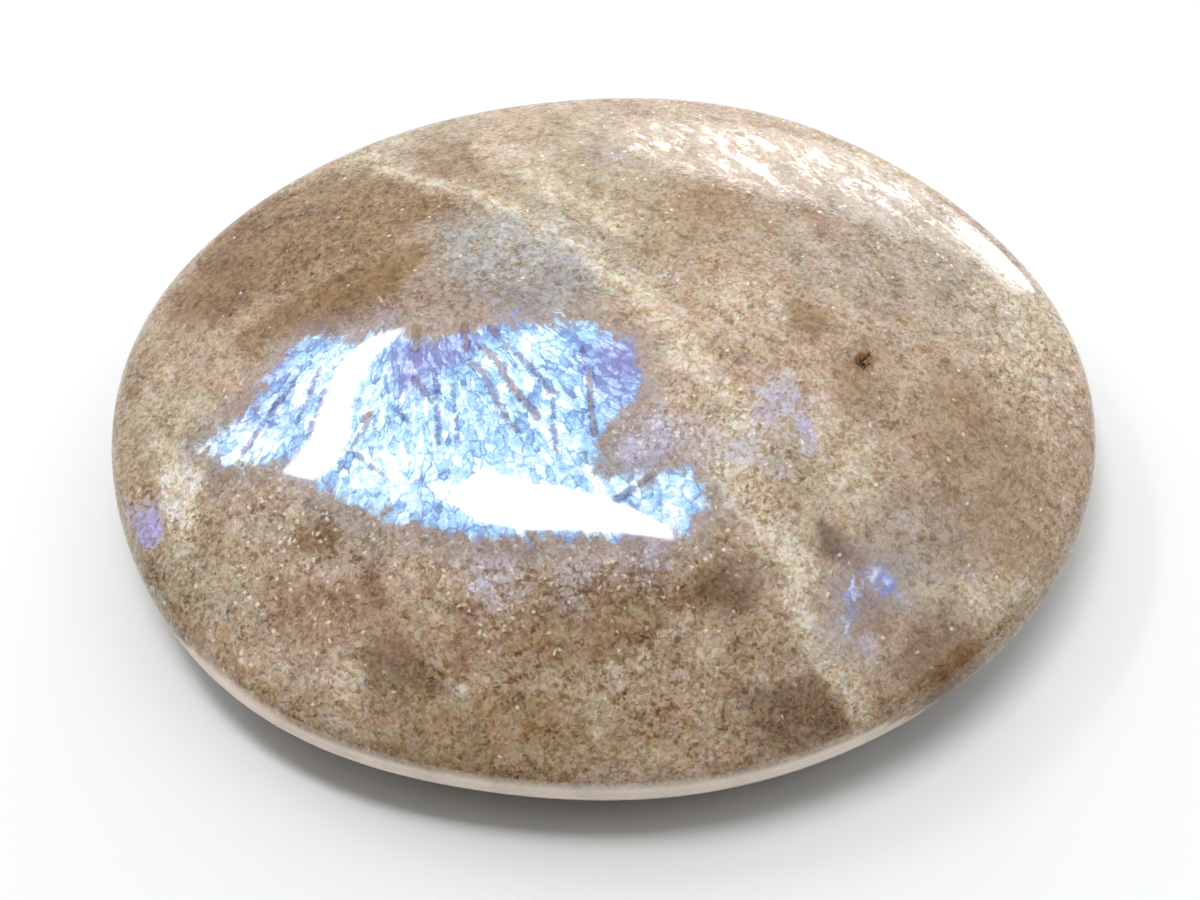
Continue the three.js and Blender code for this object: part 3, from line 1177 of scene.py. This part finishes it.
@dataclass(frozen=True)
class PalmStone:
    """The whole piece: the stone's form, its markings and its finish, in millimetres."""

    name: str = "polished_palm_stone"
    form: StoneForm = field(default_factory=StoneForm)
    finish: PolishedMoonstone = field(default_factory=PolishedMoonstone)
    # How far the edges of the markings wander, as the width of the wander and its reach. Each has
    # its own seed, since the noise is seeded from the clock otherwise.
    cloud_wander: tuple[Point, ...] = ((6.0, 1.6), (2.6, 0.8), (0.9, 0.45))
    cloud_seed: int = 25
    sheen_wander: tuple[Point, ...] = ((3.0, 0.5), (0.9, 0.35))
    sheen_seed: int = 86
    # The colour bands lean under the girdle, so the keel's clouds lie beside the crown's.
    band_lean: Point = (0.6, -0.45)
    # The crown's markings keep this far above the girdle, and below it they count as this far away.
    crown_margin: float = 0.5
    nowhere: float = -10.0
    # How clear the body is where nothing gathers, and how clear it gets.
    clearness: Point = (0.85, 1.3)
    # How far the darkening round the pit reaches: where it starts to fade and ends, in shares of the
    # way to the pit's edge.
    pit_darkening: Point = (0.2, 2.6)
    # The painted light of the thin pale rim, on the side towards the camera: where it ends above and
    # below the girdle, the side that it is on, how far out towards that side it starts and is in
    # full, and by how much it is thinner at its start.
    rim_top: Point = (0.95, 1.15)
    rim_foot: Point = (1.3, 2.2)
    rim_way: Point = (-0.174, -0.985)
    rim_start: Point = (17.0, 21.2)
    rim_taper: float = 1.5

    def build(self) -> bpy.types.Object:
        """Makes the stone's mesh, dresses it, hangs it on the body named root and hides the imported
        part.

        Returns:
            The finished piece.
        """
        points = self.form.points()
        places, faces = (self.fitted(points) * MM).tolist(), self.form.faces().tolist()
        stone = add_piece(self.name, places, faces, self.finish.make())
        stone.data.shade_smooth()
        self.mark(stone.data, points)
        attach(stone, BODY)
        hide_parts(STONE_NODE)
        return stone

    def fitted(self, points: Array) -> Array:
        """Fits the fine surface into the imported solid's box, a few hundredths of a millimetre.

        Args:
            points: The vertices, in millimetres.

        Returns:
            The vertices moved into the box.
        """
        low, high = (np.array(corner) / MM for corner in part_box(STONE_NODE))
        share = (points - points.min(0)) / (points.max(0) - points.min(0))
        return low + share * (high - low)

    def wandered(self, points: Array, steps: Sequence[Point], seed: int) -> Plan:
        """Moves each place on the plan a little, so that the markings get natural edges.

        Args:
            points: The vertices, in millimetres.
            steps: The width and the reach of each wander.
            seed: Fixes the wander, so that it's the same in every run.

        Returns:
            The moved places along and across the stone.
        """
        noise.seed_set(seed)
        shift = np.zeros((len(points), 3))
        for width, reach in steps:
            shift += reach * np.array([noise.noise_vector(p / width) for p in points])
        under = np.minimum(points[:, 2] - self.form.keel_depth, 0.0)
        x = points[:, 0] + shift[:, 0] + self.band_lean[0] * under
        y = points[:, 1] + shift[:, 1] + self.band_lean[1] * under
        return x, y

    def body_tones(self, plan: Plan) -> Array:
        """Lays the clouds and veins over the tan of the body.

        Args:
            plan: The places, along and across the stone.

        Returns:
            Linear red, green, blue and alpha for each place.
        """
        tones = np.tile(linear(Tone.TAN), (len(plan[0]), 1))
        for marking in (*CLOUDS, *VEINS):
            weight = marking.weight(plan)[:, None]
            tones += weight * (np.array(linear(marking.tone)) - tones)
        return tones

    def mark(self, mesh: bpy.types.Mesh, points: Array) -> None:
        """Writes the markings onto the mesh, for the finish to read.

        Args:
            mesh: The stone's mesh.
            points: Its vertices, in millimetres.
        """
        plan = (points[:, 0], points[:, 1])
        moved = self.wandered(points, self.cloud_wander, self.cloud_seed)
        sheen_plan = self.wandered(points, self.sheen_wander, self.sheen_seed)
        on_crown = points[:, 2] > self.form.keel_depth + self.crown_margin
        depth = np.max([patch.depth(sheen_plan) for patch in SHEEN_PATCHES], axis=0)
        crack = np.max([crack.depth(plan) for crack in CRACKS], axis=0)
        clear, clearest = self.clearness
        shares = {
            Mark.SHEEN_DEPTH: np.where(on_crown, depth, self.nowhere),
            Mark.SHEEN_WHITE: gathered(WHITE_SHEEN, moved),
            Mark.SHEEN_VIOLET: np.clip(gathered(VIOLET_SHEEN, moved), 0.0, 1.0),
            Mark.LILAC: gathered(LILAC, moved) * on_crown,
            Mark.CLEAR: np.clip(clear + gathered(CLEAR, moved), 0.0, clearest),
            Mark.GLITTER: gathered(GLITTER, plan),
            Mark.WEAR: np.clip(gathered(WEAR, moved), 0.0, 1.0) * on_crown,
            Mark.PIT: smooth_fall(self.form.pit.reach(plan), *self.pit_darkening) * on_crown,
            Mark.RIM: self.rim(points),
            Mark.CRACK: np.where(on_crown, crack, self.nowhere),
        }
        for mark, values in shares.items():
            layer = mesh.attributes.new(mark, "FLOAT", "POINT")
            layer.data.foreach_set("value", values.astype(np.float32))
        layer = mesh.attributes.new(BODY_TONE, "FLOAT_COLOR", "POINT")
        layer.data.foreach_set("color", self.body_tones(moved).astype(np.float32).ravel())

    def rim(self, points: Array) -> Array:
        """Says where the painted light of the thin pale rim lies, on the side towards the camera.

        Args:
            points: The vertices, in millimetres.

        Returns:
            One on the rim and zero away from it, for each vertex.
        """
        height = points[:, 2] - self.form.keel_depth
        out = points[:, 0] * self.rim_way[0] + points[:, 1] * self.rim_way[1]
        far = smooth_fall(out, *self.rim_start)
        top = smooth_fall(height + self.rim_taper * far, *self.rim_top)
        return top * smooth_fall(-height, *self.rim_foot) * (1.0 - far)


@dataclass(frozen=True)
class LightPanel:
    """A lamp behind opal glass, hung at arm's length from the stone and facing it.

    Its corners are given as degrees of heading, from the far side towards the right, and degrees of
    height over the table, as the stone would see them.
    """

    name: str
    corners: tuple[Point, ...]
    radiance: float
    distance: float = 450.0

    def build(self, aim: Vector) -> bpy.types.Object:
        """Sets the panel up in front of the stone, out of the camera's sight.

        Args:
            aim: The point that the panel faces, in millimetres.

        Returns:
            The panel.
        """
        places = []
        for heading, height in self.corners:
            turn, tilt = math.radians(heading), math.radians(height)
            flat = math.cos(tilt)
            away = Vector((flat * math.sin(turn), flat * math.cos(turn), math.sin(tilt)))
            places.append((aim + self.distance * away) * MM)
        glass = LampGlass(self.radiance).make()
        panel = add_piece(self.name, places, [tuple(range(len(places)))], glass)
        panel.visible_camera = False
        return panel


@dataclass(frozen=True)
class Studio:
    """The pale table, the soft light and the camera round the stone. Sizes are in millimetres."""

    camera_place: Place = (-4.744, -79.872, 141.088)
    camera_target: Place = (-0.368, -1.594, 5.295)
    lens_mm: float = 70.0
    sensor_mm: float = 36.0
    table_mm: float = 6000.0
    sky_tone: str = "#f4f6fa"
    # The room is brightest on the far side, and dark behind the camera. Its light rises over this
    # span of the cosine from the bright side.
    bright_way: Place = (0.15, 0.85, 0.5)
    bright_span: Point = (-0.3, 0.85)
    bright_radiance: float = 1.25
    dim_radiance: float = 0.0
    aim: Place = (0.0, 0.0, 6.7)
    lamps: tuple[LightPanel, ...] = (
        LightPanel("right_wall", ((85, 35), (130, 35), (125, 68), (90, 68)), 1.6),
        LightPanel("left_wall", ((235, 35), (275, 35), (270, 68), (240, 68)), 1.2),
        LightPanel(
            "left_window",
            (
                (-29.5, 46.5), (-35, 45.5), (-40, 46), (-47, 48), (-54, 49.5), (-65, 47.5),
                (-65, 51.5), (-60.5, 53.5), (-52, 53.5), (-44.5, 51), (-38, 49), (-33, 48),
            ),
            19.0,
        ),
        LightPanel(
            "overhead_window",
            (
                (-60, 70.5), (-48, 71), (-49, 80.5), (-31, 87.5), (103, 86.5), (117, 80.5),
                (124, 79.5), (147, 84), (-106, 81), (-85, 76.5), (-70, 72.5),
            ),
            34.0,
        ),
        LightPanel(
            "far_window",
            (
                (4, 1), (45, 1), (44, 9), (35, 7), (30, 10),
                (26, 13), (22, 16), (16, 15), (9, 10), (4, 6),
            ),
            12.0,
        ),
    )

    def build(self) -> None:
        """Sets up the table, the lamps, the sky and the camera."""
        log.info("%s in place", self.table().name)
        for lamp in self.lamps:
            log.info("%s in place", lamp.build(Vector(self.aim)).name)
        self.sky()
        self.camera()
        bpy.context.scene.view_settings.view_transform = "Standard"

    def table(self) -> bpy.types.Object:
        """Lays the table's white card out flat under the stone.

        Returns:
            The card.
        """
        half = self.table_mm / 2 * MM
        corners = [(-half, -half, 0), (half, -half, 0), (half, half, 0), (-half, half, 0)]
        card = add_piece("table_card", corners, [(0, 1, 2, 3)], WhiteCard().make())
        return card

    def sky(self) -> None:
        """Fills the room with a soft pale light, which falls off behind the camera."""
        world = bpy.data.worlds.new("studio")
        node = cleared(world)
        way = node("TexCoord", output="Generated")
        bright = tuple(Vector(self.bright_way).normalized())
        facing = node("VectorMath", {0: way, 1: bright}, "Value", operation="DOT_PRODUCT")
        steps = (facing, *self.bright_span, self.dim_radiance, self.bright_radiance)
        radiance = node("MapRange", dict(enumerate(steps)), **SMOOTH)
        light = node("Background", {0: linear(self.sky_tone), 1: radiance})
        node("OutputWorld", {"Surface": light})
        bpy.context.scene.world = world

    def camera(self) -> bpy.types.Object:
        """Places the camera, level, with the stone in its middle.

        Returns:
            The camera.
        """
        lens = bpy.data.cameras.new("camera")
        lens.lens = self.lens_mm
        lens.sensor_width = self.sensor_mm
        lens.clip_start = 10 * MM
        camera = bpy.data.objects.new("camera", lens)
        camera.location = Vector(self.camera_place) * MM
        look = Vector(self.camera_target) - Vector(self.camera_place)
        camera.rotation_euler = look.to_track_quat("-Z", "Y").to_euler()
        bpy.context.scene.collection.objects.link(camera)
        bpy.context.scene.camera = camera
        return camera


def main() -> None:
    """Builds the studio and the stone, and reports each piece."""
    logging.basicConfig(level=logging.INFO, format="%(name)s: %(message)s")
    Studio().build()
    stone = PalmStone().build()
    log.info("%s: %d faces", stone.name, len(stone.data.polygons))


if __name__ == "__main__":
    main()
